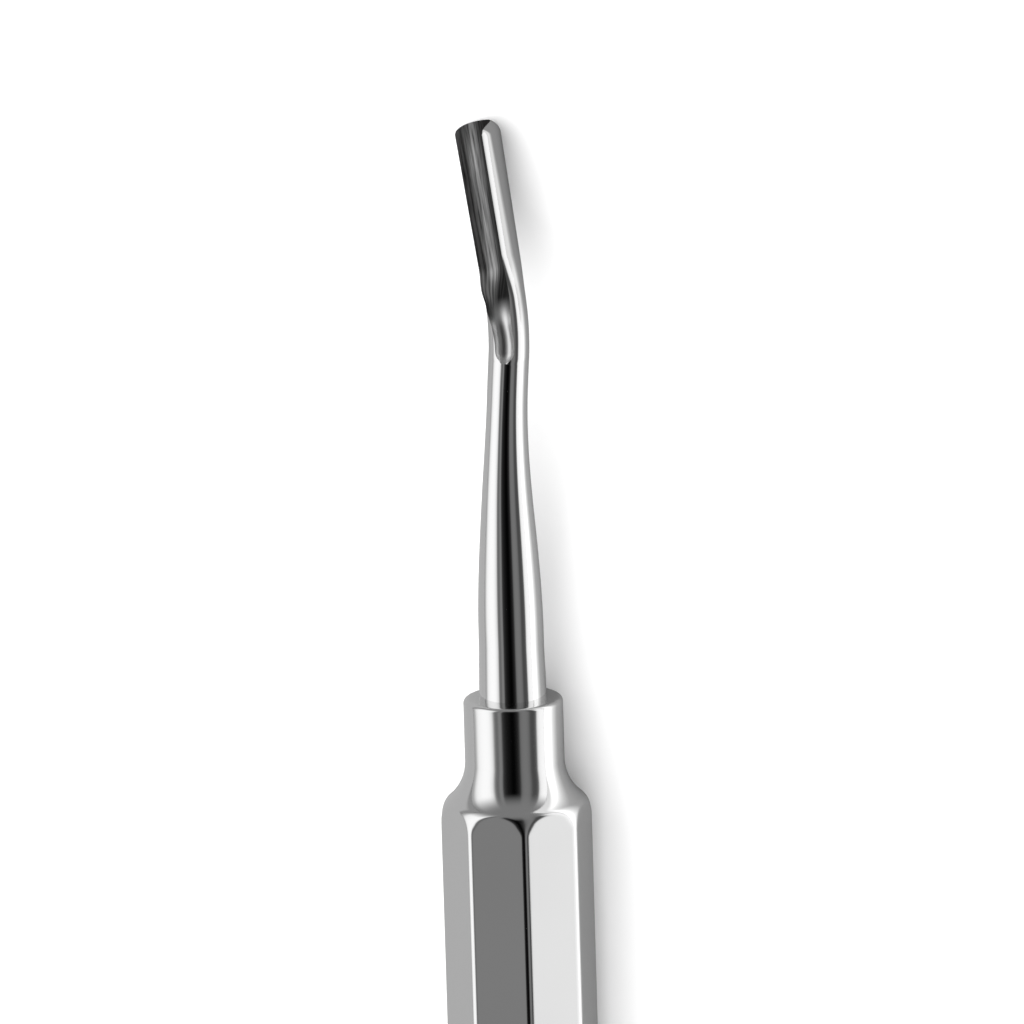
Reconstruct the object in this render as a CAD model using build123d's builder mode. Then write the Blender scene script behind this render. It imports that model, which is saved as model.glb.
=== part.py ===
from build123d import *
import os
from math import cos, radians, sin, tan

# Dental elevator with a curved gouge blade on an octagonal handle, lying on one
# flat of the handle. Millimetres and degrees. The handle's axis runs along X
# with the blade at the +X end, and Z is up.
#
# Directions across the axis are given by their turn from straight up towards +Y.

QUARTER_TURN = 90.0

# Handle
HANDLE_LENGTH = 101.0
HANDLE_FLATS = 13.5
HANDLE_EDGE_RADIUS = 0.9
HANDLE_SIDES = 8
BLANK_DIAMETER = 14.8
REAR_RADIUS = 5.2
NECK_DIAMETER = 9.5
NECK_LENGTH = 6.1
NECK_RIM_RADIUS = 0.45
FLARE_RADIUS = 4.8
FLARE_TURN = 50.0
CROWN_RADIUS = 1.8
CROWN_TURN = 38.0

# Shank
FOOT_DIAMETER = 6.45
SHANK_DIAMETER = 6.2
WAIST_DIAMETER = 3.86
FOOT_LENGTH = 5.0
TAPER_START = 6.5
TAPER_END = 30.0

# Tang and its socket in the handle
TANG_DIAMETER = 4.8
TANG_LENGTH = 20.0
TANG_CHAMFER = 0.5
TANG_CLEARANCE = 0.02
SOCKET_END_GAP = 1.0
DRILL_POINT_ANGLE = 118.0

# Line of the working end: it sways back from the handle's axis, then bends over
SWAY_START = 17.9
SWAY_RADIUS = 80.0
SWAY_TURN = 11.2
BLADE_TURN = 22.7
BEND_RADIUS = 11.0
BEND_DIRECTION = 142.5

# Blade: a gutter open towards GUTTER_DIRECTION
BLADE_WIDTH = 6.2
BLADE_ROOT_WIDTH = 5.7
BLADE_LENGTH = 16.6
SWELL_LEAD = 2.0
SWELL_LENGTH = 4.0
TIP_SKEW = 12.0
NOSE_RADIUS = 1.3
FLOOR_THICKNESS = 0.9
GUTTER_DIRECTION = 49.0

# Run-out: the gutter closes to a groove, turns and lifts out of the shank, with a ball end
RUNOUT_LEAD = 1.1
RUNOUT_LENGTH = 8.1
RUNOUT_DIRECTION = -9.0
CLOSING_SHARE = 0.5
TURNING_SHARE = 0.7
BALL_SHARE = 0.87
GROOVE_OPENING = 38.0
GROOVE_END_OPENING = 27.0
GROOVE_FLOOR = 0.22
GROOVE_END_FLOOR = 0.66

CUTTER_MARGIN = 4.0

tip_radius = BLADE_WIDTH / 2
root_radius = BLADE_ROOT_WIDTH / 2
waist_radius = WAIST_DIAMETER / 2
axis_height = HANDLE_FLATS / 2
sway_end = SWAY_START + SWAY_RADIUS * radians(SWAY_TURN)
bend_turn = SWAY_TURN + BLADE_TURN
bend_end = sway_end + BEND_RADIUS * radians(bend_turn)


def across(turn):
    """Unit vector across the handle's axis, turned from straight up towards +Y."""
    return Vector(0, sin(radians(turn)), cos(radians(turn)))


def smooth(share):
    """Smooth step from 0 to 1."""
    share = min(max(share, 0.0), 1.0)
    return share * share * (3 - 2 * share)


# The working end's centre line lies in one plane, from the neck's face to past the tip
bend_plane = Plane(origin=(0, 0, 0), x_dir=(1, 0, 0), z_dir=across(BEND_DIRECTION - QUARTER_TURN))
with BuildLine(bend_plane) as centre_line:
    straight = Line((0, 0), (SWAY_START, 0))
    sway = JernArc(straight @ 1, straight % 1, radius=SWAY_RADIUS, arc_size=-SWAY_TURN)
    bend = JernArc(sway @ 1, sway % 1, radius=BEND_RADIUS, arc_size=bend_turn)
    Line(bend @ 1, bend @ 1 + (bend % 1) * (BLADE_LENGTH + CUTTER_MARGIN))
centre = centre_line.wires()[0]


def station(distance):
    """Plane across the centre line: x to one side of the bend, y into the bend."""
    place = centre.position_at(distance, position_mode=PositionMode.LENGTH)
    along = centre.tangent_at(distance, position_mode=PositionMode.LENGTH)
    return Plane(origin=place, x_dir=-bend_plane.z_dir, z_dir=along)


def towards(direction):
    """Unit vector in a station's own plane, for a direction across the straight handle."""
    turn = radians(BEND_DIRECTION - direction)
    return Vector(-sin(turn), cos(turn))


def blank(distance):
    """Radius of the blank before the gutter is cut, and its middle in the station's plane."""
    foot = FOOT_DIAMETER + (SHANK_DIAMETER - FOOT_DIAMETER) * min(distance / FOOT_LENGTH, 1)
    taper = smooth((distance - TAPER_START) / (TAPER_END - TAPER_START))
    swell = smooth((distance - (bend_end - SWELL_LEAD)) / SWELL_LENGTH)
    along_blade = max(0.0, (distance - bend_end) / BLADE_LENGTH)
    radius = (foot + (WAIST_DIAMETER - SHANK_DIAMETER) * taper) / 2
    radius += (root_radius - waist_radius) * swell + (tip_radius - root_radius) * along_blade
    rise = (root_radius - waist_radius) * swell
    return radius, towards(GUTTER_DIRECTION) * rise


def gutter(distance, turned=0.0, opening=QUARTER_TURN, floor=None):
    """Circle that cuts the gutter: it meets the blank at its rims and touches the floor."""
    radius, middle = blank(distance)
    depth = FLOOR_THICKNESS - radius if floor is None else floor * radius
    lift = (radius**2 - depth**2) / (2 * (radius * cos(radians(opening)) - depth))
    direction = GUTTER_DIRECTION + (RUNOUT_DIRECTION - GUTTER_DIRECTION) * turned
    return lift - depth, middle + towards(direction) * lift


def mix(first, last, share):
    """Value at a share of the way from first to last."""
    return first + (last - first) * share


def groove(share):
    """Circle that cuts the run-out, at a share of its length down from the blade."""
    closed = smooth(share / CLOSING_SHARE)
    turned = smooth(share / TURNING_SHARE)
    opening = mix(QUARTER_TURN, mix(GROOVE_OPENING, GROOVE_END_OPENING, share), closed)
    root_floor = FLOOR_THICKNESS / blank(runout_start)[0] - 1
    floor = mix(root_floor, mix(GROOVE_FLOOR, GROOVE_END_FLOOR, share), closed)
    return gutter(runout_start - RUNOUT_LENGTH * share, turned, opening, floor)


def spread(start, end, count):
    """Evenly spaced values after start, up to and with end."""
    return [mix(start, end, (index + 1) / count) for index in range(count)]


# Distances along the centre line
swell_end = bend_end - SWELL_LEAD + SWELL_LENGTH
runout_start = bend_end + RUNOUT_LEAD
blade_end = bend_end + BLADE_LENGTH

# Cutter of the gutter along the blade
with BuildPart() as gutter_cutter:
    for distance in (swell_end, blade_end + CUTTER_MARGIN):
        radius, middle = gutter(distance)
        with BuildSketch(station(distance)):
            with Locations(middle):
                Circle(radius)
    loft(ruled=True)

# Cutter of the run-out
with BuildPart() as runout_cutter:
    for distance in (swell_end, (swell_end + runout_start) / 2):
        radius, middle = gutter(distance)
        with BuildSketch(station(distance)):
            with Locations(middle):
                Circle(radius)
    for share in [0] + spread(0, BALL_SHARE, 14):
        radius, middle = groove(share)
        with BuildSketch(station(runout_start - RUNOUT_LENGTH * share)):
            with Locations(middle):
                Circle(radius)
    loft()

# Cutter of the run-out's round end, a ball on its last section
with BuildPart() as end_cutter:
    with Locations(station(runout_start - RUNOUT_LENGTH * BALL_SHARE).from_local_coords(middle)):
        Sphere(radius)

# The blade's end is cut askew, longer on the inside of the bend
tip = station(blade_end)
skewed = tip.z_dir.rotate(Axis(tip.origin, tip.x_dir), TIP_SKEW)
end_plane = Plane(origin=tip.origin, x_dir=tip.x_dir, z_dir=skewed)

# Working end: tang, shank and gouge blade in one piece
with BuildPart() as working_end:
    with BuildSketch(Plane.YZ):
        Circle(TANG_DIAMETER / 2)
    extrude(amount=-TANG_LENGTH)
    tang_end = faces().sort_by(Axis.X)[0]
    chamfer(tang_end.edges(), length=TANG_CHAMFER)
    shank_distances = [0, FOOT_LENGTH] + spread(FOOT_LENGTH, sway_end, 9)
    for distance in shank_distances + spread(sway_end, swell_end, 9):
        radius, middle = blank(distance)
        with BuildSketch(station(distance)):
            with Locations(middle):
                Circle(radius)
    loft()
    for distance in (swell_end, blade_end + CUTTER_MARGIN):
        radius, middle = blank(distance)
        with BuildSketch(station(distance)):
            with Locations(middle):
                Circle(radius)
    loft(ruled=True)
    split(bisect_by=end_plane, keep=Keep.BOTTOM)
    nose = edges().sort_by(Axis.X)[-1]
    fillet(nose, radius=NOSE_RADIUS)
    add(gutter_cutter.part, mode=Mode.SUBTRACT)
    add(runout_cutter.part, mode=Mode.SUBTRACT)
    add(end_cutter.part, mode=Mode.SUBTRACT)

# Handle: octagonal bar with a turned neck, a flared shoulder and a rounded rear end
socket_radius = TANG_DIAMETER / 2 + TANG_CLEARANCE
socket_length = TANG_LENGTH + SOCKET_END_GAP
drill_point = socket_radius / tan(radians(DRILL_POINT_ANGLE / 2))

with BuildPart() as handle:
    with BuildSketch(Plane.XY):
        with BuildLine():
            face = Line((0, 0), (0, NECK_DIAMETER / 2 - NECK_RIM_RADIUS))
            rim = JernArc(face @ 1, (0, 1), radius=NECK_RIM_RADIUS, arc_size=QUARTER_TURN)
            neck = Line(rim @ 1, (-NECK_LENGTH, NECK_DIAMETER / 2))
            flare = JernArc(neck @ 1, (-1, 0), radius=FLARE_RADIUS, arc_size=-FLARE_TURN)
            crown = JernArc(flare @ 1, flare % 1, radius=CROWN_RADIUS, arc_size=CROWN_TURN)
            slope = crown % 1
            shoulder = Line(crown @ 1, crown @ 1 + slope * (HANDLE_FLATS / slope.Y))
            outside = (-HANDLE_LENGTH - CUTTER_MARGIN, (shoulder @ 1).Y)
            Polyline(shoulder @ 1, outside, (outside[0], 0), (0, 0))
        make_face()
    revolve(axis=Axis.X)
    with BuildSketch(Plane.XY):
        with BuildLine():
            front = Line((0, 0), (0, BLANK_DIAMETER / 2))
            body = Line(front @ 1, (-HANDLE_LENGTH + REAR_RADIUS, BLANK_DIAMETER / 2))
            rear = JernArc(body @ 1, (-1, 0), radius=REAR_RADIUS, arc_size=QUARTER_TURN)
            Polyline(rear @ 1, (-HANDLE_LENGTH, 0), (0, 0))
        make_face()
    revolve(axis=Axis.X, mode=Mode.INTERSECT)
    with BuildSketch(Plane.YZ):
        RegularPolygon(
            radius=HANDLE_FLATS / 2,
            side_count=HANDLE_SIDES,
            major_radius=False,
            rotation=180 / HANDLE_SIDES,
        )
        fillet(vertices(), radius=HANDLE_EDGE_RADIUS)
    extrude(amount=-HANDLE_LENGTH, mode=Mode.INTERSECT)
    with BuildSketch(Plane.XY):
        with BuildLine():
            Polyline(
                (0, 0),
                (0, socket_radius),
                (-socket_length, socket_radius),
                (-socket_length - drill_point, 0),
                close=True,
            )
        make_face()
    revolve(axis=Axis.X, mode=Mode.SUBTRACT)

# Both pieces move together, so that the part lies on its lowest flat with its middle at X = 0
reach = working_end.part.bounding_box().max.X
lying = Location(((HANDLE_LENGTH - reach) / 2, 0, axis_height))

os.makedirs("parts", exist_ok=True)
for name, piece in (("working_end", working_end.part), ("handle", handle.part)):
    placed = piece.moved(lying)
    placed.label = name
    export_step(placed, f"parts/{name}.step")
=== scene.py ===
import math

import bmesh
import bpy
import numpy as np
from mathutils import Matrix, Vector


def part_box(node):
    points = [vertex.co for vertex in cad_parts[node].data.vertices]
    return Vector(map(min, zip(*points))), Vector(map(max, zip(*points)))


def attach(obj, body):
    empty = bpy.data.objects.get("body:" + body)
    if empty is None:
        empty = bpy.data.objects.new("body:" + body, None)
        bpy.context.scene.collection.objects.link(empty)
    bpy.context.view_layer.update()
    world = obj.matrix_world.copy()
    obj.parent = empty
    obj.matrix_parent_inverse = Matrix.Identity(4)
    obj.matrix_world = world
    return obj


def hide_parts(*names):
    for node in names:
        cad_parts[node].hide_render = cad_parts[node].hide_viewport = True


# Looks of the dental elevator: a polished octagonal handle and a gouge blade on a tapered shank.
# Its sizes are in millimetres and degrees. Meshes, floor and lamp are in metres. The handle's axis runs
# along X, and Z is up.

MM = 0.001
SIDES = 8
SECTOR = 2 * math.pi / SIDES
QUARTER_TURN = 90.0

# Handle
HANDLE_LENGTH = 101.0
HANDLE_FLATS = 13.5
HANDLE_EDGE_RADIUS = 0.9
BLANK_RADIUS = 7.4
REAR_RADIUS = 5.2
NECK_RADIUS = 4.75
NECK_LENGTH = 6.1
NECK_RIM_RADIUS = 0.45
FLARE_RADIUS = 4.8
FLARE_TURN = 50.0
CROWN_RADIUS = 1.8
CROWN_TURN = 38.0
SHOULDER_TOP = 7.7
REAR_LEAD = 1.0
SOCKET_RADIUS = 2.42
SOCKET_LENGTH = 21.0
DRILL_POINT = 1.45
CREASE_BLEND = 0.16
FLAT_STEPS = 36
EDGE_STEPS = 8
HANDLE_SHARP_ANGLE = 40.0

# Shank and tang
FOOT_DIAMETER = 6.45
SHANK_DIAMETER = 6.2
WAIST_DIAMETER = 3.86
FOOT_LENGTH = 5.0
TAPER_START = 6.5
TAPER_END = 30.0
TANG_RADIUS = 2.4
TANG_LENGTH = 20.0
TANG_CHAMFER = 0.5

# Line of the working end
SWAY_START = 17.9
SWAY_RADIUS = 80.0
SWAY_TURN = 11.2
BLADE_TURN = 22.7
BEND_RADIUS = 11.0
BEND_DIRECTION = 142.5

# Blade and gutter
BLADE_WIDTH = 6.2
BLADE_ROOT_WIDTH = 5.7
BLADE_LENGTH = 16.6
SWELL_LEAD = 1.26
SWELL_LENGTH = 4.17
TIP_SKEW = 12.0
NOSE_RADIUS = 1.3
FLOOR_THICKNESS = 0.9
GUTTER_DIRECTION = 49.0

# Run-out
RUNOUT_LEAD = 2.87
RUNOUT_LENGTH = 9.29
RUNOUT_DIRECTION = -1.8
CLOSING_SHARE = 0.69
TURNING_SHARE = 0.86
BALL_SHARE = 0.87
GROOVE_OPENING = 38.6
GROOVE_END_OPENING = 27.0
GROOVE_FLOOR = 0.147
GROOVE_END_FLOOR = 0.66
LEAST_OPENING = 9.0
LEAST_CUT = 0.004

# The dark ground surface, whose dark grey is partly painted shade, ends this far down the run-out, which
# is satin below it
SATIN_START = 5.6
SATIN_LENGTH = 2.4
SATIN_SHARE = 0.5

WAIST_RADIUS = WAIST_DIAMETER / 2
ROOT_RADIUS = BLADE_ROOT_WIDTH / 2
TIP_RADIUS = BLADE_WIDTH / 2
SWAY_END = SWAY_START + SWAY_RADIUS * math.radians(SWAY_TURN)
BEND_TURN = SWAY_TURN + BLADE_TURN
BEND_END = SWAY_END + BEND_RADIUS * math.radians(BEND_TURN)
SWELL_END = BEND_END - SWELL_LEAD + SWELL_LENGTH
RUNOUT_START = BEND_END + RUNOUT_LEAD
BLADE_END = BEND_END + BLADE_LENGTH
BALL_PLACE = RUNOUT_START - RUNOUT_LENGTH * BALL_SHARE

# Mesh steps of the working end
OUTER_STEPS = 96
GUTTER_STEPS = 56
SHANK_STEP = 0.2
BLADE_ROWS = 70
NOSE_ROWS = 12
BLADE_SHARP_ANGLE = 28.0

# Points closer than this are one, and edges shorter than this go, in metres
MEETING_DISTANCE = 2e-7
SHORTEST_EDGE = 1e-7

# Steels, and the streaks along the gutter. The gutter's dark grey is ground steel with streaks and
# partly painted shade in the hollow, darkest towards the rim nearer the camera
HANDLE_GREY = 0.77
HANDLE_ROUGHNESS = (0.05, 0.13)
BUFFING_SCALE = 90.0
BLADE_GREY = 0.78
BLADE_ROUGHNESS = 0.055
GROUND_ROUGHNESS = 0.3
STREAKS_ALONG = 0.22
STREAKS_AROUND = 34.0
STREAK_DETAIL = 3.0
STREAK_NOISE = (0.3, 0.7)
STREAK_GREYS = (0.1, 0.75)
GUTTER_PAINTED_SHADE = (0.13, 0.33)
GUTTER_PAINTED_SHADE_LIGHT = (1.0, 0.07)
STREAK_STRENGTH = 0.4
STREAK_DEPTH = 0.00004

# Camera: the photograph's viewing angle, with the neck's face at its place in the picture. Its distances
# are in metres, and the rest is in degrees and millimetres.
VIEW_TURN = -16.5
VIEW_PITCH = 14.0
VIEW_ROLL = 1.7
VIEW_SPAN = 97.52
VIEW_RIGHT = -0.092
VIEW_UP = 17.62
VIEW_DISTANCE = 1.2
SENSOR = 36.0
NEAREST_SEEN = 0.01
FURTHEST_SEEN = 100.0

# Brightness of the studio around the object, as seen in the polish: angle in the plane across
# the handle from the camera's side, positive to the picture's right, and 8-bit grey. The greys
# were read off the photograph across neck and shank, and then adjusted.
STUDIO = (
    (-180, 170), (-144, 170), (-118, 140), (-104, 160), (-96, 215), (-84, 245), (-70, 250),
    (-56, 235), (-47, 150), (-40, 100), (-33, 122), (-27, 62), (-20, 30), (-11, 14), (0, 8), (9, 40),
    (16, 104), (24, 112), (33, 104), (43, 70), (50, 84), (55, 205), (60, 238), (70, 248),
    (84, 250), (99, 200), (118, 140), (144, 170), (180, 170),
)
STEEL_SHARE = 0.77
STUDIO_END_GREY = 118
STUDIO_END_START = 0.55
STUDIO_END_FULL = 0.95

# Floor, and the painted shadow that darkens it in the steel near the instrument: from and to how far
# aside and ahead it changes, in metres
FLOOR_SIDE = 12.0
FLOOR_WHITE = 0.9
FLOOR_ROUGHNESS = 0.9
FLOOR_ASIDE = (0.012, 0.026)
FLOOR_ASIDE_SHADOW_LIGHT = (0.3, 0.85)
FLOOR_AHEAD = (0.045, 0.07)
FLOOR_AHEAD_SHADOW_LIGHT = (1.0, 0.62)

LAMP_SIZE = 3.6
LAMP_POWER = 95.0
LAMP_PLACE = (0.0, 0.2, 1.9)


def smooth(share):
    """Smooth step from 0 to 1."""
    share = min(max(share, 0.0), 1.0)
    return share * share * (3 - 2 * share)


def mix(first, last, share):
    """Value at a share of the way from first to last."""
    return first + (last - first) * share


def arc_points(start, heading, radius, turn, steps):
    """Points of an arc from start, turning left for a positive turn, and the heading at its end."""
    side = 1 if turn > 0 else -1
    normal = heading + side * math.pi / 2
    middle = (start[0] + radius * math.cos(normal), start[1] + radius * math.sin(normal))
    points = []
    for index in range(1, steps + 1):
        angle = normal + math.pi + math.radians(turn) * index / steps
        points.append((middle[0] + radius * math.cos(angle), middle[1] + radius * math.sin(angle)))
    return points, heading + math.radians(turn)


def line_points(start, end, steps):
    """Evenly spaced points after start, up to and with end."""
    return [
        (mix(start[0], end[0], i / steps), mix(start[1], end[1], i / steps))
        for i in range(1, steps + 1)
    ]


def handle_profile():
    """Distance and radius along the turned blank, from the socket's end over the front to the rear."""
    points = [(-SOCKET_LENGTH - DRILL_POINT, 0.0), (-SOCKET_LENGTH, SOCKET_RADIUS)]
    points.append((0.0, SOCKET_RADIUS))
    points += line_points(points[-1], (0.0, NECK_RADIUS - NECK_RIM_RADIUS), 4)
    rim, _ = arc_points(points[-1], math.pi / 2, NECK_RIM_RADIUS, QUARTER_TURN, 8)
    points += rim
    points += line_points(points[-1], (-NECK_LENGTH, NECK_RADIUS), 6)
    flare, heading = arc_points(points[-1], math.pi, FLARE_RADIUS, -FLARE_TURN, 30)
    points += flare
    crown, heading = arc_points(points[-1], heading, CROWN_RADIUS, CROWN_TURN, 16)
    points += crown
    rise = SHOULDER_TOP - points[-1][1]
    run = rise / math.tan(heading)
    points += line_points(points[-1], (points[-1][0] + run, SHOULDER_TOP), 22)
    rear_start = REAR_RADIUS - HANDLE_LENGTH
    points += line_points(points[-1], (rear_start + REAR_LEAD, SHOULDER_TOP), 5)
    points += line_points(points[-1], (rear_start, BLANK_RADIUS), 4)
    rear, _ = arc_points(points[-1], math.pi, REAR_RADIUS, QUARTER_TURN, 30)
    points += rear
    points += line_points(points[-1], (-HANDLE_LENGTH, 0.0), 3)
    return points


def handle_turns():
    """Directions around the handle, close together over its rounded edges."""
    half = HANDLE_FLATS / 2
    reach = math.atan((half - HANDLE_EDGE_RADIUS) * math.tan(SECTOR / 2) / half)
    turns = []
    for side in range(SIDES):
        middle = side * SECTOR
        turns += [middle + mix(-reach, reach, i / FLAT_STEPS) for i in range(FLAT_STEPS)]
        turns += [middle + mix(reach, SECTOR - reach, i / EDGE_STEPS) for i in range(EDGE_STEPS)]
    return turns


def grid_mesh(name, rows, attributes):
    """Mesh of rows of points that close on themselves, with float attributes per point."""
    rows = np.asarray(rows)
    count, around = rows.shape[:2]
    index = np.arange(count * around).reshape(count, around)
    after = np.roll(index, -1, axis=1)
    faces = np.stack([index[:-1], after[:-1], after[1:], index[1:]], axis=-1).reshape(-1, 4)
    mesh = bpy.data.meshes.new(name)
    mesh.from_pydata(rows.reshape(-1, 3).tolist(), [], faces.tolist())
    for key, values in attributes.items():
        layer = mesh.attributes.new(key, "FLOAT", "POINT")
        layer.data.foreach_set("value", np.asarray(values, dtype=np.float32).ravel())
    return mesh


class Nodes:
    """Adds nodes to a tree and joins values to their inputs."""

    def __init__(self, tree):
        self.tree = tree

    def add(self, kind, **settings):
        node = self.tree.nodes.new(kind)
        for key, value in settings.items():
            setattr(node, key, value)
        return node

    def join(self, value, socket):
        if isinstance(value, bpy.types.NodeSocket):
            self.tree.links.new(value, socket)
        else:
            socket.default_value = value

    def math(self, operation, *values):
        node = self.add("ShaderNodeMath", operation=operation)
        for place, value in enumerate(values):
            self.join(value, node.inputs[place])
        return node.outputs[0]

    def scaled(self, value, start, end, low, high, kind="LINEAR"):
        """Value that goes from low to high while the given one goes from start to end."""
        node = self.add("ShaderNodeMapRange", interpolation_type=kind)
        for key, given in (
            ("Value", value), ("From Min", start), ("From Max", end), ("To Min", low), ("To Max", high),
        ):
            self.join(given, node.inputs[key])
        return node.outputs[0]

    def grey(self, value):
        node = self.add("ShaderNodeCombineColor")
        for channel in range(3):
            self.join(value, node.inputs[channel])
        return node.outputs[0]

    def blended(self, share, first, last):
        """Colour between two, first at share 0."""
        node = self.add("ShaderNodeMix", data_type="RGBA")
        sockets = [socket for socket in node.inputs if socket.enabled]
        for given, socket in zip((share, first, last), sockets):
            self.join(given, socket)
        return next(socket for socket in node.outputs if socket.enabled)


def octagon_bar_nodes():
    """Geometry nodes that cut a turned blank to eight flats with rounded edges."""
    tree = bpy.data.node_groups.new("octagon_bar", "GeometryNodeTree")
    face = tree.interface
    face.new_socket("Blank", in_out="INPUT", socket_type="NodeSocketGeometry")
    for label in ("Half flats", "Edge radius", "Crease blend", "Axis height"):
        face.new_socket(label, in_out="INPUT", socket_type="NodeSocketFloat")
    face.new_socket("Steel", in_out="INPUT", socket_type="NodeSocketMaterial")
    face.new_socket("Bar", in_out="OUTPUT", socket_type="NodeSocketGeometry")
    n = Nodes(tree)
    given = n.add("NodeGroupInput").outputs
    half, edge, blend = given["Half flats"], given["Edge radius"], given["Crease blend"]

    def attribute(name):
        node = n.add("GeometryNodeInputNamedAttribute", data_type="FLOAT")
        node.inputs["Name"].default_value = name
        return node.outputs["Attribute"]

    turn = attribute("turn")
    turned_radius = attribute("turned_radius")
    in_sector = n.math("FLOORED_MODULO", n.math("ADD", turn, SECTOR / 2), SECTOR)
    from_flat = n.math("ABSOLUTE", n.math("SUBTRACT", in_sector, SECTOR / 2))
    from_edge = n.math("SUBTRACT", SECTOR / 2, from_flat)
    flat = n.math("DIVIDE", half, n.math("COSINE", from_flat))
    inner_half = n.math("SUBTRACT", half, edge)
    arc_middle = n.math("DIVIDE", inner_half, math.cos(SECTOR / 2))
    aside = n.math("MULTIPLY", arc_middle, n.math("SINE", from_edge))
    left = n.math("SUBTRACT", n.math("MULTIPLY", edge, edge), n.math("MULTIPLY", aside, aside))
    depth = n.math("SQRT", n.math("MAXIMUM", left, 0.0))
    rounded = n.math("ADD", n.math("MULTIPLY", arc_middle, n.math("COSINE", from_edge)), depth)
    reach = n.math("DIVIDE", n.math("MULTIPLY", inner_half, math.tan(SECTOR / 2)), half)
    past_flat = n.math("GREATER_THAN", from_flat, n.math("ARCTANGENT", reach))
    octagon = n.math("ADD", flat, n.math("MULTIPLY", past_flat, n.math("SUBTRACT", rounded, flat)))
    radius = n.math("SMOOTH_MIN", octagon, turned_radius, blend)
    split = n.add("ShaderNodeSeparateXYZ")
    n.join(n.add("GeometryNodeInputPosition").outputs[0], split.inputs[0])
    place = n.add("ShaderNodeCombineXYZ")
    n.join(split.outputs["X"], place.inputs["X"])
    n.join(n.math("MULTIPLY", radius, n.math("SINE", turn)), place.inputs["Y"])
    up = n.math("MULTIPLY", radius, n.math("COSINE", turn))
    n.join(n.math("ADD", up, given["Axis height"]), place.inputs["Z"])
    moved = n.add("GeometryNodeSetPosition")
    n.join(given["Blank"], moved.inputs["Geometry"])
    n.join(place.outputs[0], moved.inputs["Position"])
    realized = n.add("GeometryNodeRealizeInstances")
    n.join(moved.outputs[0], realized.inputs[0])
    coated = n.add("GeometryNodeSetMaterial")
    n.join(realized.outputs[0], coated.inputs["Geometry"])
    n.join(given["Steel"], coated.inputs["Material"])
    n.join(coated.outputs[0], n.add("NodeGroupOutput").inputs[0])
    return tree


def set_inputs(modifier, values):
    """Sets the named inputs of a geometry nodes modifier."""
    for item in modifier.node_group.interface.items_tree:
        if item.item_type == "SOCKET" and item.in_out == "INPUT" and item.name in values:
            modifier[item.identifier] = values[item.name]


def plain_copy(source, name):
    """Object with the mesh that another object's modifiers give, after which that object goes."""
    bpy.context.view_layer.update()
    shaped = source.evaluated_get(bpy.context.evaluated_depsgraph_get())
    mesh = bpy.data.meshes.new_from_object(shaped)
    bpy.data.objects.remove(source, do_unlink=True)
    mesh.name = name
    piece = bpy.data.objects.new(name, mesh)
    bpy.context.scene.collection.objects.link(piece)
    return piece


def close_and_smooth(mesh, sharp_over):
    """Joins meeting points, drops faces without area, turns faces outward and shades them smooth."""
    work = bmesh.new()
    work.from_mesh(mesh)
    bmesh.ops.remove_doubles(work, verts=work.verts, dist=MEETING_DISTANCE)
    bmesh.ops.dissolve_degenerate(work, edges=work.edges, dist=SHORTEST_EDGE)
    bmesh.ops.recalc_face_normals(work, faces=work.faces)
    work.to_mesh(mesh)
    work.free()
    mesh.shade_smooth()
    mesh.set_sharp_from_angle(angle=math.radians(sharp_over))


def build_handle(neck_x, axis_height, steel):
    """Handle: the turned blank as rows of points, cut to its flats by geometry nodes."""
    profile = handle_profile()
    turns = handle_turns()
    rows, turned = [], []
    for distance, radius in profile:
        rows.append([
            ((distance + neck_x) * MM, radius * math.sin(t) * MM, radius * math.cos(t) * MM)
            for t in turns
        ])
        turned.append([radius * MM] * len(turns))
    attributes = {"turn": [turns] * len(profile), "turned_radius": turned}
    mesh = grid_mesh("turned_blank", rows, attributes)
    blank = bpy.data.objects.new("turned_blank", mesh)
    bpy.context.scene.collection.objects.link(blank)
    modifier = blank.modifiers.new("octagon_bar", "NODES")
    modifier.node_group = octagon_bar_nodes()
    set_inputs(modifier, {
        "Half flats": HANDLE_FLATS / 2 * MM,
        "Edge radius": HANDLE_EDGE_RADIUS * MM,
        "Crease blend": CREASE_BLEND * MM,
        "Axis height": axis_height * MM,
        "Steel": steel,
    })
    piece = plain_copy(blank, "octagonal_handle")
    close_and_smooth(piece.data, HANDLE_SHARP_ANGLE)
    return piece


def across(direction):
    """Unit vector across the handle's axis, turned from straight up towards +Y."""
    turn = math.radians(direction)
    return np.array([0.0, math.sin(turn), math.cos(turn)])


BEND_SIDE = across(BEND_DIRECTION)
PLANE_NORMAL = across(BEND_DIRECTION - QUARTER_TURN)


def station(distance):
    """Place on the centre line, and the unit vectors to its side, into the bend and along it."""
    along, into, turn = min(distance, SWAY_START), 0.0, 0.0
    if distance > SWAY_START:
        turn = -(min(distance, SWAY_END) - SWAY_START) / SWAY_RADIUS
        along += SWAY_RADIUS * math.sin(-turn)
        into -= SWAY_RADIUS * (1 - math.cos(turn))
    if distance > SWAY_END:
        start = turn
        turn += (min(distance, BEND_END) - SWAY_END) / BEND_RADIUS
        along += BEND_RADIUS * (math.sin(turn) - math.sin(start))
        into += BEND_RADIUS * (math.cos(start) - math.cos(turn))
    if distance > BEND_END:
        along += (distance - BEND_END) * math.cos(turn)
        into += (distance - BEND_END) * math.sin(turn)
    place = np.array([along, 0.0, 0.0]) + BEND_SIDE * into
    ahead = np.array([math.cos(turn), 0.0, 0.0]) + BEND_SIDE * math.sin(turn)
    inward = np.array([-math.sin(turn), 0.0, 0.0]) + BEND_SIDE * math.cos(turn)
    return place, -PLANE_NORMAL, inward, ahead


def towards(direction):
    """Unit vector in a station's own plane, for a direction across the straight handle."""
    turn = math.radians(BEND_DIRECTION - direction)
    return np.array([-math.sin(turn), math.cos(turn)])


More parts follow.
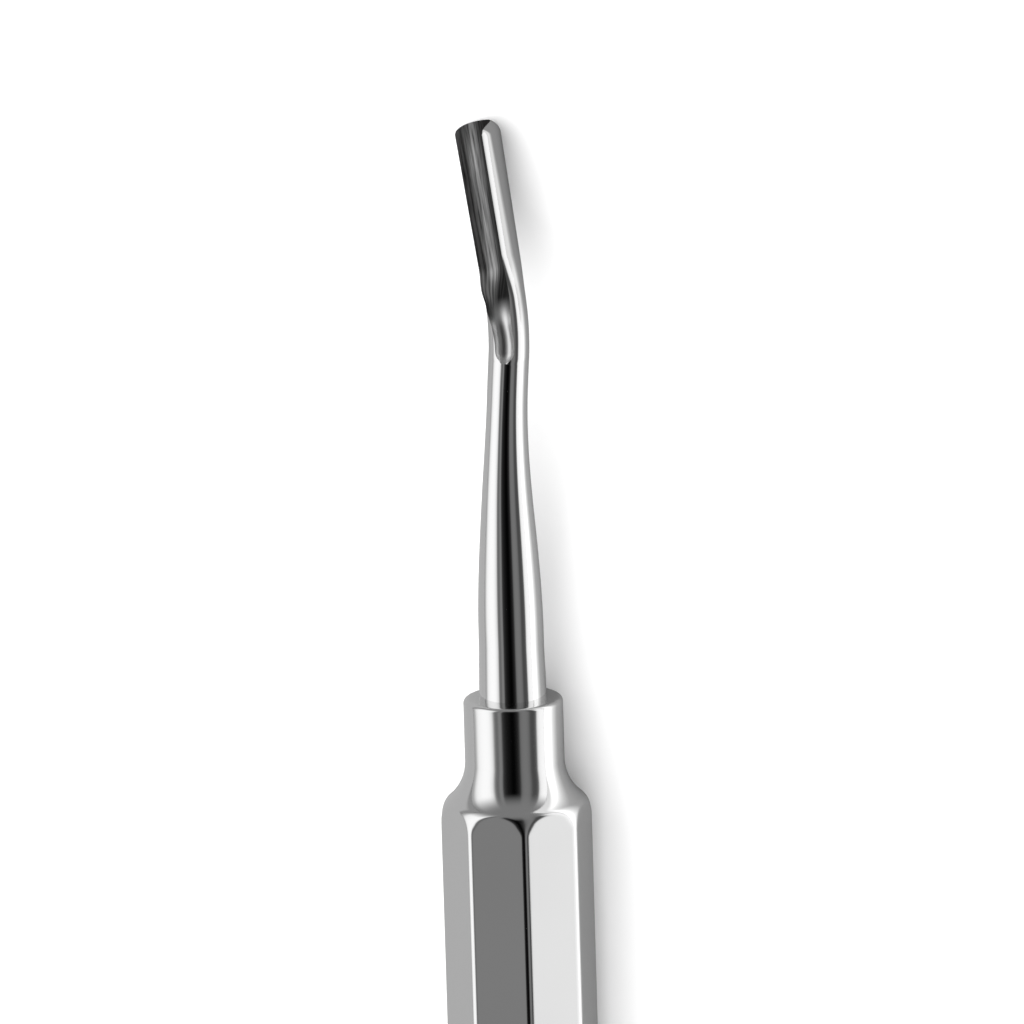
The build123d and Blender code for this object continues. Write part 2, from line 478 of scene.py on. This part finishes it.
def blank(distance):
    """Radius of the blank before the gutter is cut, and its middle in the station's plane."""
    foot = mix(FOOT_DIAMETER, SHANK_DIAMETER, min(max(distance, 0) / FOOT_LENGTH, 1))
    taper = smooth((distance - TAPER_START) / (TAPER_END - TAPER_START))
    swell = smooth((distance - (BEND_END - SWELL_LEAD)) / SWELL_LENGTH)
    along_blade = max(0.0, (distance - BEND_END) / BLADE_LENGTH)
    radius = (foot + (WAIST_DIAMETER - SHANK_DIAMETER) * taper) / 2
    radius += (ROOT_RADIUS - WAIST_RADIUS) * swell + (TIP_RADIUS - ROOT_RADIUS) * along_blade
    return radius, towards(GUTTER_DIRECTION) * (ROOT_RADIUS - WAIST_RADIUS) * swell


def gutter(distance, turned=0.0, opening=QUARTER_TURN, floor=None):
    """Radius of the gutter's circle, how far it lies from the blank's middle, and its direction."""
    radius = blank(distance)[0]
    depth = FLOOR_THICKNESS - radius if floor is None else floor * radius
    rim = radius * math.cos(math.radians(opening))
    lift = (radius**2 - depth**2) / (2 * (rim - depth))
    return lift - depth, lift, mix(GUTTER_DIRECTION, RUNOUT_DIRECTION, turned)


def groove(share):
    """Circle of the run-out at a share of its length down from the blade."""
    closed = smooth(share / CLOSING_SHARE)
    turned = smooth(share / TURNING_SHARE)
    opening = mix(QUARTER_TURN, mix(GROOVE_OPENING, GROOVE_END_OPENING, share), closed)
    root_floor = FLOOR_THICKNESS / blank(RUNOUT_START)[0] - 1
    floor = mix(root_floor, mix(GROOVE_FLOOR, GROOVE_END_FLOOR, share), closed)
    return gutter(RUNOUT_START - RUNOUT_LENGTH * share, turned, opening, floor)


def cut(distance):
    """Circle that the gutter has at a distance: radius, lift and direction, with radius 0 below it."""
    if distance >= RUNOUT_START:
        return gutter(distance)
    if distance >= BALL_PLACE:
        return groove((RUNOUT_START - distance) / RUNOUT_LENGTH)
    radius, lift, direction = groove(BALL_SHARE)
    left = radius**2 - (BALL_PLACE - distance) ** 2
    return (math.sqrt(left) if left > 0 else 0.0), lift, direction


def turned_vector(direction, angle):
    """Unit vectors in a station's plane, turned by angles from a direction."""
    base = towards(direction)
    side = np.array([-base[1], base[0]])
    return np.outer(np.cos(angle), base) + np.outer(np.sin(angle), side)


def rim_opening(radius, cut_radius, lift):
    """Angle from the gutter's direction to its rims, seen from the blank's middle."""
    if cut_radius <= 0:
        return 0.0
    cosine = (radius**2 + lift**2 - cut_radius**2) / (2 * radius * lift)
    return math.acos(min(max(cosine, -1.0), 1.0))


def inner_line(radius, cut_radius, lift):
    """Angles and radii of the gutter's surface, seen from the blank's middle, rim to rim."""
    opening = rim_opening(radius, cut_radius, lift)
    least = math.radians(LEAST_OPENING)
    if opening >= least:
        widest = math.atan2(radius * math.sin(opening), lift - radius * math.cos(opening))
        swing = np.linspace(-widest, widest, GUTTER_STEPS + 1)
        over = lift - cut_radius * np.cos(swing)
        aside = cut_radius * np.sin(swing)
        return opening, np.arctan2(aside, over), np.hypot(aside, over)
    angle = np.linspace(-least, least, GUTTER_STEPS + 1)
    under = cut_radius**2 - (lift * np.sin(angle)) ** 2
    reach = lift * np.cos(angle) - np.sqrt(np.maximum(under, 0.0))
    return least, angle, np.where(under > 0, np.minimum(reach, radius), radius)


def ring(distance, ground):
    """Points around the working end at one distance, in the frame of the neck's face."""
    radius, middle = blank(distance)
    cut_radius, lift, direction = cut(distance)
    opening, angle, reach = inner_line(radius, cut_radius, lift)
    outer = np.linspace(opening, 2 * math.pi - opening, OUTER_STEPS + 1)
    inner = reach[:, None] * turned_vector(direction, angle)
    outside = radius * turned_vector(direction, outer)
    flat = np.concatenate([outside[:-1], inner[:-1]]) + middle
    worked = np.where(reach < radius - LEAST_CUT, ground, 0.0)
    return flat, np.concatenate([np.zeros(OUTER_STEPS), worked[:-1]])


def in_space(distance, flat, ahead_by=None):
    """Places points of a station's plane in space, moved ahead along the centre line where given."""
    place, side, inward, ahead = station(distance)
    points = place + flat[:, :1] * side + flat[:, 1:] * inward
    if ahead_by is not None:
        points = points + np.asarray(ahead_by)[:, None] * ahead
    return points


def shank_rows():
    """Rows of the tang, shank, bend and run-out up to the straight blade."""
    rows, ground, along = [], [], []
    first = ring(0.0, 0.0)[0]
    for distance, radius in (
        (-TANG_LENGTH, 0.0),
        (-TANG_LENGTH, TANG_RADIUS - TANG_CHAMFER),
        (TANG_CHAMFER - TANG_LENGTH, TANG_RADIUS),
        (0.0, TANG_RADIUS),
    ):
        flat = first * (radius / np.hypot(*first[0]))
        rows.append(in_space(0.0, flat) + np.array([distance, 0.0, 0.0]))
        ground.append(np.zeros(len(flat)))
        along.append(np.full(len(flat), distance))
    steps = int(round(SWELL_END / SHANK_STEP))
    for index in range(steps + 1):
        distance = SWELL_END * index / steps
        share = smooth((distance - RUNOUT_START + SATIN_START) / SATIN_LENGTH)
        flat, mask = ring(distance, mix(SATIN_SHARE, 1.0, share))
        rows.append(in_space(distance, flat))
        ground.append(mask)
        along.append(np.full(len(flat), distance))
    return rows, ground, along


def nose_edge(thickness):
    """Depth under the end plane at which the rounded nose meets the gutter."""
    left = NOSE_RADIUS - min(thickness, NOSE_RADIUS)
    return NOSE_RADIUS - math.sqrt(NOSE_RADIUS**2 - left**2)


def nose_inset(under):
    """How far the rounded nose lies inside the blank at a depth under the end plane."""
    return NOSE_RADIUS - math.sqrt(NOSE_RADIUS**2 - (NOSE_RADIUS - under) ** 2)


def blade_radius(ahead, angle, inside):
    """Radius of the straight blade's outside or gutter, from the blank's middle."""
    distance = BLADE_END + ahead
    radius = blank(distance)[0]
    if not inside:
        return radius
    cut_radius, lift, _ = gutter(distance)
    left = max(cut_radius**2 - (lift * math.sin(angle)) ** 2, 0.0)
    return min(lift * math.cos(angle) + math.sqrt(left), radius)


def blade_point(ahead, angle, inside, inset=0.0):
    """Point of the straight blade in its own plane."""
    radius = blade_radius(ahead, angle, inside) - inset
    middle = blank(BLADE_END + ahead)[1]
    return radius * turned_vector(GUTTER_DIRECTION, np.array([angle]))[0] + middle


def blade_rows():
    """Rows of the straight blade, ending in the rounded nose that is cut askew."""
    skew = math.tan(math.radians(TIP_SKEW))
    slant = math.cos(math.radians(TIP_SKEW))
    start = SWELL_END - BLADE_END
    outer = np.linspace(math.pi / 2, 3 * math.pi / 2, OUTER_STEPS + 1)
    inner = inner_line(blank(SWELL_END)[0], *gutter(SWELL_END)[:2])[1]
    inner = np.where(inner < 0, inner + 2 * math.pi, inner)
    rows = [[] for _ in range(BLADE_ROWS + NOSE_ROWS)]
    for angle, inside in [(a, False) for a in outer[:-1]] + [(a, True) for a in inner[:-1]]:
        wall = max(blade_radius(0.0, angle, False) - blade_radius(0.0, angle, True), 0.0)
        depth = nose_edge(wall)
        under_end = depth if inside else NOSE_RADIUS
        last = blade_point(0.0, angle, inside)[1] * skew - under_end / slant
        total = BLADE_ROWS + (NOSE_ROWS if inside else 0)
        for index in range(1, total + 1):
            ahead = mix(start, last, index / total)
            rows[index - 1].append((*blade_point(ahead, angle, inside), ahead))
        if inside:
            continue
        for index in range(1, NOSE_ROWS + 1):
            under = mix(NOSE_RADIUS, depth, math.sin(math.pi / 2 * index / NOSE_ROWS))
            point = blade_point(last, angle, False, nose_inset(under))
            rows[BLADE_ROWS + index - 1].append((*point, point[1] * skew - under / slant))
    rows = np.array(rows)
    return [in_space(BLADE_END, row[:, :2], row[:, 2]) for row in rows]


def build_working_end(neck_x, axis_height, steel):
    """Working end: rows along the shank and blade, with what is ground marked for its steel."""
    rows, ground, along = shank_rows()
    blade = blade_rows()
    mask = np.concatenate([np.zeros(OUTER_STEPS), np.ones(GUTTER_STEPS)])
    for index, row in enumerate(blade):
        rows.append(row)
        ground.append(mask)
        along.append(np.full(len(row), mix(SWELL_END, BLADE_END, (index + 1) / len(blade))))
    around = np.concatenate([np.linspace(0, 1, OUTER_STEPS), np.linspace(0, 1, GUTTER_STEPS)])
    shift = np.array([neck_x, 0.0, axis_height])
    points = [(row + shift) * MM for row in rows]
    attributes = {"ground": ground, "along": along, "around": [around] * len(rows)}
    mesh = grid_mesh("gouge_blade_and_shank", points, attributes)
    piece = bpy.data.objects.new("gouge_blade_and_shank", mesh)
    bpy.context.scene.collection.objects.link(piece)
    close_nose(mesh)
    close_and_smooth(mesh, BLADE_SHARP_ANGLE)
    mesh.materials.append(steel)
    return piece


def close_nose(mesh):
    """Fills the end between the outside's last row and the gutter's last row."""
    around = OUTER_STEPS + GUTTER_STEPS
    start = len(mesh.vertices) - around
    work = bmesh.new()
    work.from_mesh(mesh)
    work.verts.ensure_lookup_table()
    outside = [work.verts[start + i] for i in range(OUTER_STEPS)]
    outside.append(work.verts[start + OUTER_STEPS])
    inside = [work.verts[start + OUTER_STEPS + i] for i in range(GUTTER_STEPS)]
    inside.append(work.verts[start])
    inside.reverse()
    left, right = 0, 0
    while left < OUTER_STEPS or right < GUTTER_STEPS:
        step_out = left < OUTER_STEPS and (
            right >= GUTTER_STEPS or (left + 1) / OUTER_STEPS <= (right + 1) / GUTTER_STEPS
        )
        if step_out:
            corners = [outside[left], outside[left + 1], inside[right]]
            left += 1
        else:
            corners = [outside[left], inside[right + 1], inside[right]]
            right += 1
        if len(set(corners)) == 3:
            work.faces.new(corners)
    work.to_mesh(mesh)
    work.free()


def new_material(name):
    """Material with its surface shader, and a helper that adds nodes to it."""
    material = bpy.data.materials.new(name)
    material.use_nodes = True
    return material, Nodes(material.node_tree), material.node_tree.nodes["Principled BSDF"]


def polished_handle_steel():
    """Bright polish with the faint unevenness of a buffed bar."""
    material, n, surface = new_material("polished_handle_steel")
    surface.inputs["Metallic"].default_value = 1.0
    surface.inputs["Base Color"].default_value = (HANDLE_GREY, HANDLE_GREY, HANDLE_GREY, 1)
    noise = n.add("ShaderNodeTexNoise")
    n.join(n.add("ShaderNodeTexCoord").outputs["Object"], noise.inputs["Vector"])
    noise.inputs["Scale"].default_value = BUFFING_SCALE
    n.join(n.scaled(noise.outputs[0], 0.0, 1.0, *HANDLE_ROUGHNESS), surface.inputs["Roughness"])
    return material


def polished_blade_steel():
    """Mirror polish outside, and a darker ground surface with streaks along the gutter, whose grey is
    partly painted shade, darkest towards the rim nearer the camera.
    """
    material, n, surface = new_material("polished_blade_steel")
    surface.inputs["Metallic"].default_value = 1.0

    def attribute(name):
        return n.add("ShaderNodeAttribute", attribute_name=name).outputs["Fac"]

    # The mark "ground" is 1 in the dark gutter, SATIN_SHARE in the run-out and 0 on the polish
    ground = attribute("ground")
    above_satin = n.math("MAXIMUM", n.math("SUBTRACT", ground, SATIN_SHARE), 0.0)
    dark = n.math("MULTIPLY", above_satin, 1 / (1 - SATIN_SHARE))
    worked = n.math("MINIMUM", n.math("MULTIPLY", ground, 1 / SATIN_SHARE), 1.0)

    # Streaks run along the gutter
    grain = n.add("ShaderNodeCombineXYZ")
    n.join(n.math("MULTIPLY", attribute("along"), STREAKS_ALONG), grain.inputs["X"])
    n.join(n.math("MULTIPLY", attribute("around"), STREAKS_AROUND), grain.inputs["Y"])
    streaks = n.add("ShaderNodeTexNoise")
    n.join(grain.outputs[0], streaks.inputs["Vector"])
    streaks.inputs["Scale"].default_value = 1.0
    streaks.inputs["Detail"].default_value = STREAK_DETAIL
    shade = n.scaled(streaks.outputs[0], *STREAK_NOISE, *STREAK_GREYS)
    # Painted shade: the gutter's grey darkens towards the rim nearer the camera.
    painted_rim_shade = n.scaled(attribute("around"), *GUTTER_PAINTED_SHADE, *GUTTER_PAINTED_SHADE_LIGHT, "SMOOTHSTEP")
    ground_grey_and_painted_shade = n.grey(n.math("MULTIPLY", shade, painted_rim_shade))
    polished = (BLADE_GREY, BLADE_GREY, BLADE_GREY, 1)
    n.join(n.blended(dark, polished, ground_grey_and_painted_shade), surface.inputs["Base Color"])
    rough = n.math("ADD", BLADE_ROUGHNESS, n.math("MULTIPLY", worked, GROUND_ROUGHNESS))
    n.join(rough, surface.inputs["Roughness"])
    bump = n.add("ShaderNodeBump")
    n.join(streaks.outputs[0], bump.inputs["Height"])
    n.join(n.math("MULTIPLY", dark, STREAK_STRENGTH), bump.inputs["Strength"])
    bump.inputs["Distance"].default_value = STREAK_DEPTH
    n.join(bump.outputs[0], surface.inputs["Normal"])
    return material


def pale_floor():
    """Plain white to the camera. In the steel it is grey with painted shadow: darker near the instrument
    and on the +Y side, lighter far to -Y and darker under the blade.
    """
    material, n, surface = new_material("pale_floor")
    surface.inputs["Roughness"].default_value = FLOOR_ROUGHNESS
    surface.inputs["Specular IOR Level"].default_value = 0.0
    place = n.add("ShaderNodeSeparateXYZ")
    n.join(n.add("ShaderNodeTexCoord").outputs["Object"], place.inputs[0])
    # Painted shadow: the floor's grey in the steel darkens near the instrument and under the blade.
    aside = n.math("MULTIPLY", place.outputs["Y"], -1.0)
    shadow_aside = n.scaled(aside, *FLOOR_ASIDE, *FLOOR_ASIDE_SHADOW_LIGHT)
    shadow_by_blade = n.scaled(place.outputs["X"], *FLOOR_AHEAD, *FLOOR_AHEAD_SHADOW_LIGHT)
    painted_shadow_in_steel = n.grey(n.math("MULTIPLY", shadow_aside, shadow_by_blade))
    to_camera = n.add("ShaderNodeLightPath").outputs["Is Camera Ray"]
    white = (FLOOR_WHITE, FLOOR_WHITE, FLOOR_WHITE, 1)
    n.join(n.blended(to_camera, painted_shadow_in_steel, white), surface.inputs["Base Color"])
    return material


def linear(grey):
    """Linear light of an 8-bit grey."""
    value = grey / 255
    return value / 12.92 if value <= 0.04045 else ((value + 0.055) / 1.055) ** 2.4


def studio_curve(n, turn):
    """Light of the studio table at a turn from straight up, as a smooth curve through its points."""
    view = n.math("SUBTRACT", math.radians(VIEW_TURN), turn)
    wrapped = n.math("WRAP", view, math.pi, -math.pi)
    share = n.math("ADD", n.math("DIVIDE", wrapped, 2 * math.pi), 0.5)
    curve = n.add("ShaderNodeFloatCurve")
    n.join(share, curve.inputs["Value"])
    spots = [(angle / 360 + 0.5, linear(grey) / STEEL_SHARE) for angle, grey in STUDIO]
    points = curve.mapping.curves[0].points
    points[0].location = spots[0]
    points[len(points) - 1].location = spots[-1]
    for spot in spots[1:-1]:
        points.new(*spot)
    curve.mapping.use_clip = False
    curve.mapping.update()
    return curve.outputs[0]


def even_light(n, strength):
    """White light of a given strength."""
    node = n.add("ShaderNodeBackground")
    n.join((1, 1, 1, 1), node.inputs["Color"])
    n.join(strength, node.inputs["Strength"])
    return node.outputs[0]


def build_studio_light():
    """World: white to the camera, and bands of light and dark around the handle's axis otherwise."""
    world = bpy.data.worlds.new("studio")
    world.use_nodes = True
    bpy.context.scene.world = world
    world.node_tree.nodes.clear()
    n = Nodes(world.node_tree)
    split = n.add("ShaderNodeSeparateXYZ")
    n.join(n.add("ShaderNodeTexCoord").outputs["Generated"], split.inputs[0])
    x, y, z = split.outputs
    around = studio_curve(n, n.math("ARCTAN2", y, z))
    ahead = n.scaled(n.math("ABSOLUTE", x), STUDIO_END_START, STUDIO_END_FULL, 0.0, 1.0, "SMOOTHSTEP")
    strength = n.add("ShaderNodeMix", data_type="FLOAT")
    n.join(ahead, strength.inputs[0])
    n.join(around, strength.inputs[2])
    n.join(linear(STUDIO_END_GREY) / STEEL_SHARE, strength.inputs[3])
    choice = n.add("ShaderNodeMixShader")
    n.join(n.add("ShaderNodeLightPath").outputs["Is Camera Ray"], choice.inputs[0])
    n.join(even_light(n, strength.outputs[0]), choice.inputs[1])
    n.join(even_light(n, 1.0), choice.inputs[2])
    n.join(choice.outputs[0], n.add("ShaderNodeOutputWorld").inputs["Surface"])


def build_floor():
    """Wide plain floor that the instrument lies on."""
    mesh = bpy.data.meshes.new("floor")
    corners = [(-1, -1), (1, -1), (1, 1), (-1, 1)]
    mesh.from_pydata([(x * FLOOR_SIDE, y * FLOOR_SIDE, 0) for x, y in corners], [], [(0, 1, 2, 3)])
    mesh.materials.append(pale_floor())
    floor = bpy.data.objects.new("floor", mesh)
    bpy.context.scene.collection.objects.link(floor)


def build_soft_lamp():
    """Large soft lamp overhead that whitens the floor and isn't seen in the steel."""
    data = bpy.data.lights.new("soft_lamp", "AREA")
    data.shape = "DISK"
    data.size = LAMP_SIZE
    data.energy = LAMP_POWER
    lamp = bpy.data.objects.new("soft_lamp", data)
    lamp.location = LAMP_PLACE
    lamp.rotation_euler = (-lamp.location).to_track_quat("-Z", "Y").to_euler()
    lamp.visible_glossy = False
    bpy.context.scene.collection.objects.link(lamp)


def build_camera(neck_x, axis_height):
    """Long lens from the photograph's side, so that the instrument stands upright in the picture."""
    turn, pitch, roll = (math.radians(a) for a in (VIEW_TURN, VIEW_PITCH, VIEW_ROLL))
    side = Vector((0, math.sin(turn), math.cos(turn)))
    axis = Vector((1, 0, 0))
    back = side * math.cos(pitch) + axis * math.sin(pitch)
    up = axis * math.cos(pitch) - side * math.sin(pitch)
    right = up.cross(back)
    picture_right = right * math.cos(roll) - up * math.sin(roll)
    picture_up = up * math.cos(roll) + right * math.sin(roll)
    target = Vector((neck_x, 0, axis_height)) * MM
    target += (picture_right * VIEW_RIGHT + picture_up * VIEW_UP) * MM
    data = bpy.data.cameras.new("camera")
    data.sensor_width = SENSOR
    data.lens = SENSOR * VIEW_DISTANCE / (VIEW_SPAN * MM)
    data.clip_start = NEAREST_SEEN
    data.clip_end = FURTHEST_SEEN
    camera = bpy.data.objects.new("camera", data)
    turned = Matrix((picture_right, picture_up, back)).transposed()
    camera.matrix_world = Matrix.Translation(target + back * VIEW_DISTANCE) @ turned.to_4x4()
    bpy.context.scene.collection.objects.link(camera)
    bpy.context.scene.camera = camera


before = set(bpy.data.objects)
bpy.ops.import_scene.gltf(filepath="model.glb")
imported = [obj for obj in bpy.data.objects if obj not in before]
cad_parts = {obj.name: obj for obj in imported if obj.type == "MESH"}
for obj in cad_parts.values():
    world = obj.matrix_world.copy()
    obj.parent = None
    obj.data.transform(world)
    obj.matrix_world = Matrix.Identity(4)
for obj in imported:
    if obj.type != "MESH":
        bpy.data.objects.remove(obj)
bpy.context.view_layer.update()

handle_corners = np.array(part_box("handle"))
neck_x = float(handle_corners[:, 0].max()) / MM
axis_height = HANDLE_FLATS / 2

handle_steel = polished_handle_steel()
blade_steel = polished_blade_steel()

handle = build_handle(neck_x, axis_height, handle_steel)
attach(handle, "root")
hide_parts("handle")

working_end = build_working_end(neck_x, axis_height, blade_steel)
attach(working_end, "root")
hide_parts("working_end")

build_floor()
build_studio_light()
build_soft_lamp()
build_camera(neck_x, axis_height)

bpy.context.scene.view_settings.view_transform = "Standard"
